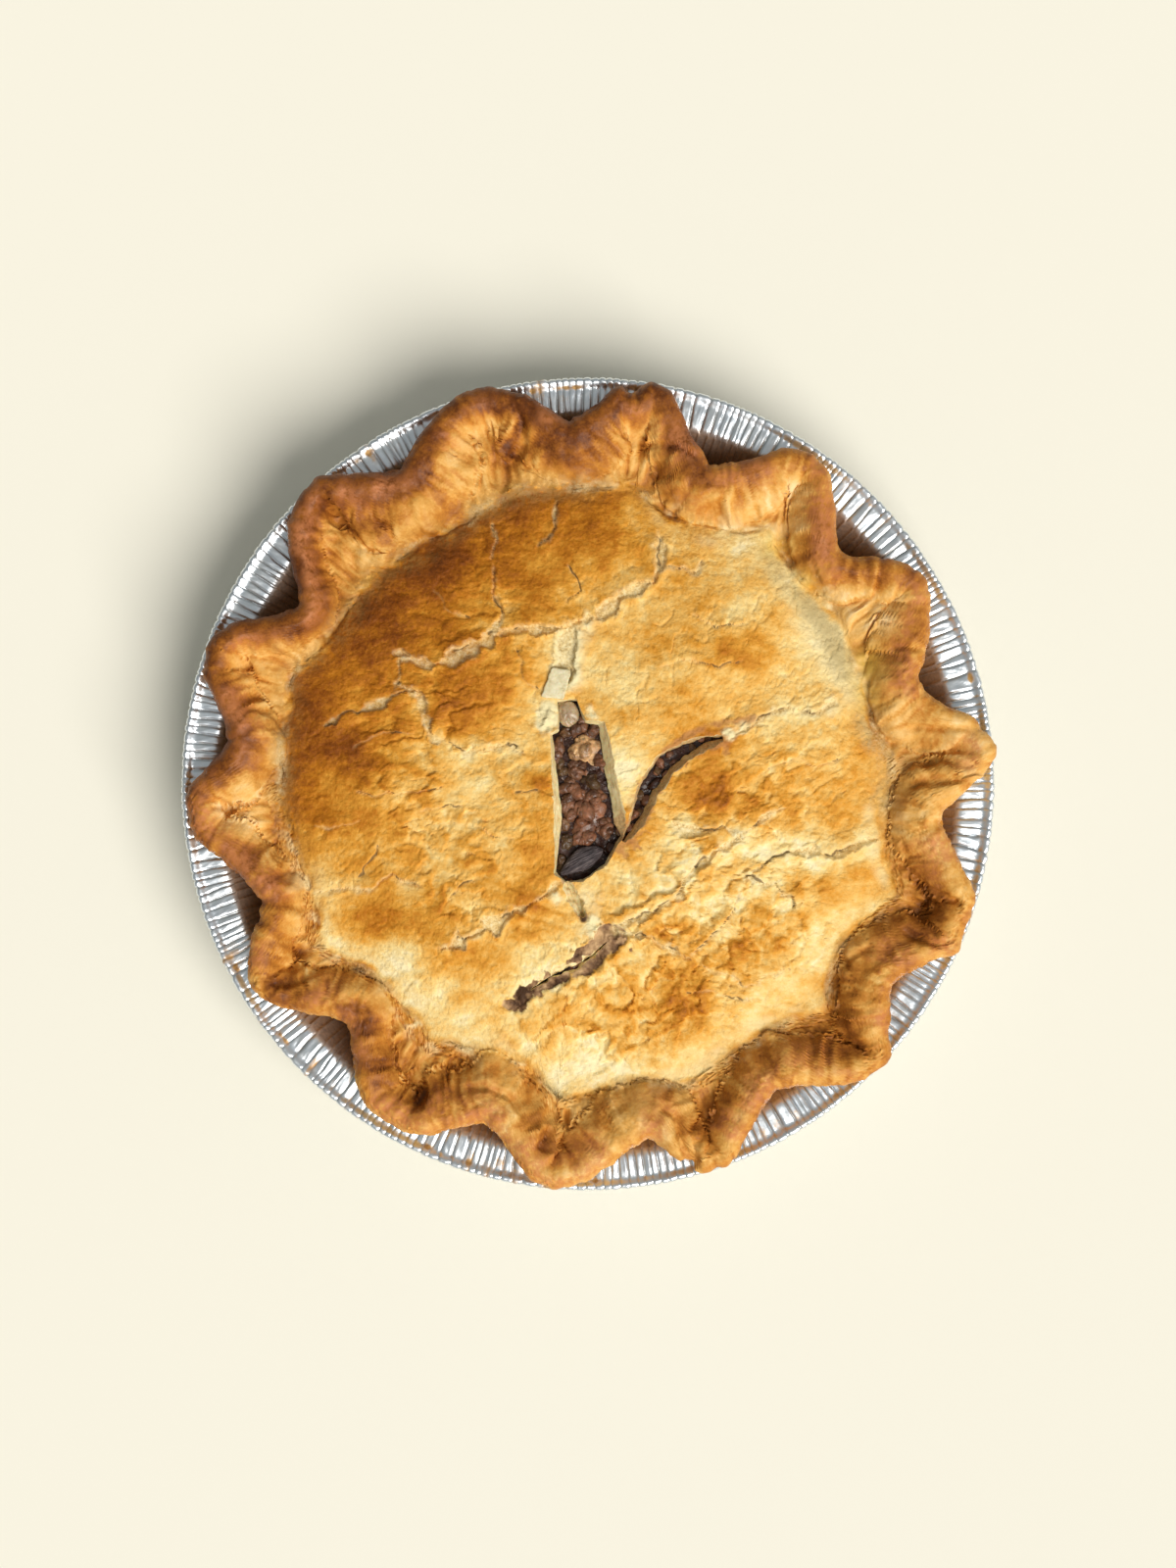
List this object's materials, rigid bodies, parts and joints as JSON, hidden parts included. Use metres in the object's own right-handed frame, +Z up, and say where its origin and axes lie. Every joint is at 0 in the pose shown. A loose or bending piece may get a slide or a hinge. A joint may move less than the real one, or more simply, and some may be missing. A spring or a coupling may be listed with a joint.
{
  "type": "pot pie",
  "caption": "Round pot pie baked in its own foil tin, with a deep wavy fluted rim and a cracked golden lid that is vented over a meat filling.",
  "frame": {"origin": "centre of the tin's flat foot, on the surface it stands on", "axes": "+Z up through the lid; +Y is the head of the long vent and the top of the picture; +X is to the right"},
  "size_m": [0.244, 0.244, 0.0453],
  "materials": {
    "foil": "bright pressed foil, pleated",
    "pastry": "baked pastry, egg washed, golden to red-brown",
    "filling": "minced meat wet with gravy",
    "mushroom": "wet cooked mushroom",
    "onion": "soft translucent cooked onion"
  },
  "bodies": {
    "root": {"foil_tin": "foil", "crust": "pastry", "meat_filling": "filling", "mushroom_slice": "mushroom", "onion_piece": "onion"}
  },
  "joints": []
}
